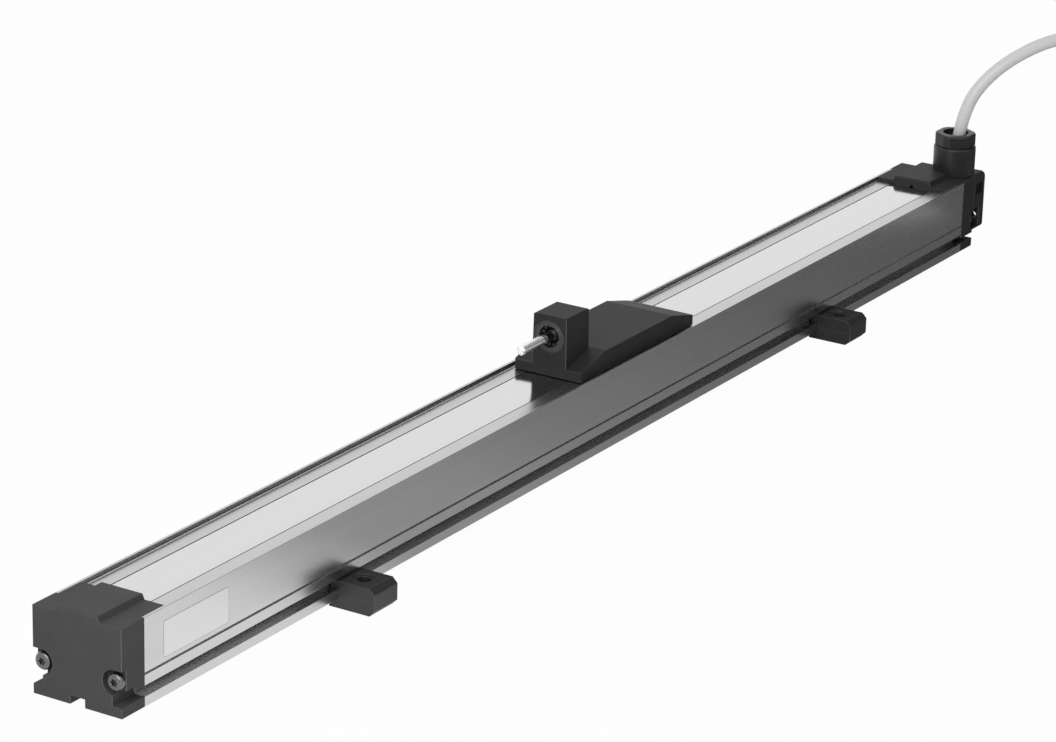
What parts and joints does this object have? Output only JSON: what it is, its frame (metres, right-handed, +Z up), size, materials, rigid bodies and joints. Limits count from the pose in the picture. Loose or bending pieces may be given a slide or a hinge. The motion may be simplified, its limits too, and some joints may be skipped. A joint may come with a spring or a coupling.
{
  "type": "linear potentiometer",
  "caption": "Rodless linear potentiometer: extruded housing with steel cover band, sliding carriage with ball coupling, clamps and cable gland.",
  "frame": {"origin": "halfway along the whole length, on the centre plane, on the mounting plane under the clamps", "axes": "+X along the housing to the cable end, +Y to the back, +Z up"},
  "size_m": [0.7289, 0.1831, 0.1028],
  "materials": {
    "anodised_aluminium": "satin anodised, brushed lengthwise",
    "steel_band": "polished rolled stainless strip",
    "cap_plastic": "moulded, fine texture",
    "seal_rubber": "moulded",
    "screw_steel": "zinc plated",
    "bar_aluminium": "machined",
    "board_laminate": "glass laminate",
    "track_carbon": "conductive plastic",
    "contact_brass": "plated",
    "lead_plastic": "insulated wire",
    "gland_plastic": "moulded polyamide",
    "cable_sheath": "smooth light grey sheath",
    "carriage_plastic": "moulded, fine texture",
    "glide_plastic": "acetal",
    "wiper_felt": "pressed felt",
    "stud_steel": "nickel plated, threaded",
    "clamp_plastic": "moulded"
  },
  "bodies": {
    "housing": {"profile_housing": "anodised_aluminium", "cover_band": "steel_band", "near_end_cap": "cap_plastic", "connection_cap": "cap_plastic", "near_gasket": "seal_rubber", "far_gasket": "seal_rubber", "near_cap_screws": "screw_steel", "far_cap_screws": "screw_steel", "near_band_clamp": "bar_aluminium", "far_band_clamp": "bar_aluminium", "near_bumper": "seal_rubber", "far_bumper": "seal_rubber", "resistance_board": "board_laminate", "resistance_track": "track_carbon", "collector_track": "track_carbon", "terminal_pins": "contact_brass", "inner_leads": "lead_plastic", "gland_body": "gland_plastic", "gland_seal": "seal_rubber", "gland_nut": "gland_plastic", "cable": "cable_sheath", "cable_coil": "cable_sheath", "cable_tail": "cable_sheath", "cable_cores": "lead_plastic"},
    "carriage": {"carriage_cover": "carriage_plastic", "saddle": "bar_aluminium", "saddle_screws": "screw_steel", "glide_shoes": "glide_plastic", "band_skids": "glide_plastic", "band_felts": "wiper_felt", "wiper_block": "glide_plastic", "wiper_fingers": "contact_brass", "ball_socket": "carriage_plastic", "socket_plug": "carriage_plastic"},
    "coupling_cup": {"ball_cup": "glide_plastic"},
    "coupling_stud": {"ball_stud": "stud_steel"},
    "near_front_clamp": {"near_front_clamp_upper": "clamp_plastic", "near_front_clamp_lower": "clamp_plastic"},
    "near_back_clamp": {"near_back_clamp_upper": "clamp_plastic", "near_back_clamp_lower": "clamp_plastic"},
    "far_front_clamp": {"far_front_clamp_upper": "clamp_plastic", "far_front_clamp_lower": "clamp_plastic"},
    "far_back_clamp": {"far_back_clamp_upper": "clamp_plastic", "far_back_clamp_lower": "clamp_plastic"}
  },
  "joints": [
    {"name": "carriage_slide", "type": "slide", "parent": "housing", "child": "carriage", "axis": [1, 0, 0], "range_m": [-0.2744, 0.2256], "deforming": ["cover_band"]},
    {"name": "coupling_yaw", "type": "hinge", "parent": "carriage", "child": "coupling_cup", "pos_m": [-0.0212, 0, 0.0519], "axis": [0, 0, 1], "range_deg": [-12, 12]},
    {"name": "coupling_pitch", "type": "hinge", "parent": "coupling_cup", "child": "coupling_stud", "pos_m": [-0.0212, 0, 0.0519], "axis": [0, 1, 0], "range_deg": [-12, 12]},
    {"name": "near_front_clamp_slide", "type": "slide", "parent": "housing", "child": "near_front_clamp", "axis": [1, 0, 0], "range_m": [-0.11, 0.15]},
    {"name": "near_back_clamp_slide", "type": "slide", "parent": "housing", "child": "near_back_clamp", "axis": [1, 0, 0], "range_m": [-0.11, 0.15]},
    {"name": "far_front_clamp_slide", "type": "slide", "parent": "housing", "child": "far_front_clamp", "axis": [1, 0, 0], "range_m": [-0.15, 0.11]},
    {"name": "far_back_clamp_slide", "type": "slide", "parent": "housing", "child": "far_back_clamp", "axis": [1, 0, 0], "range_m": [-0.15, 0.11]}
  ]
}
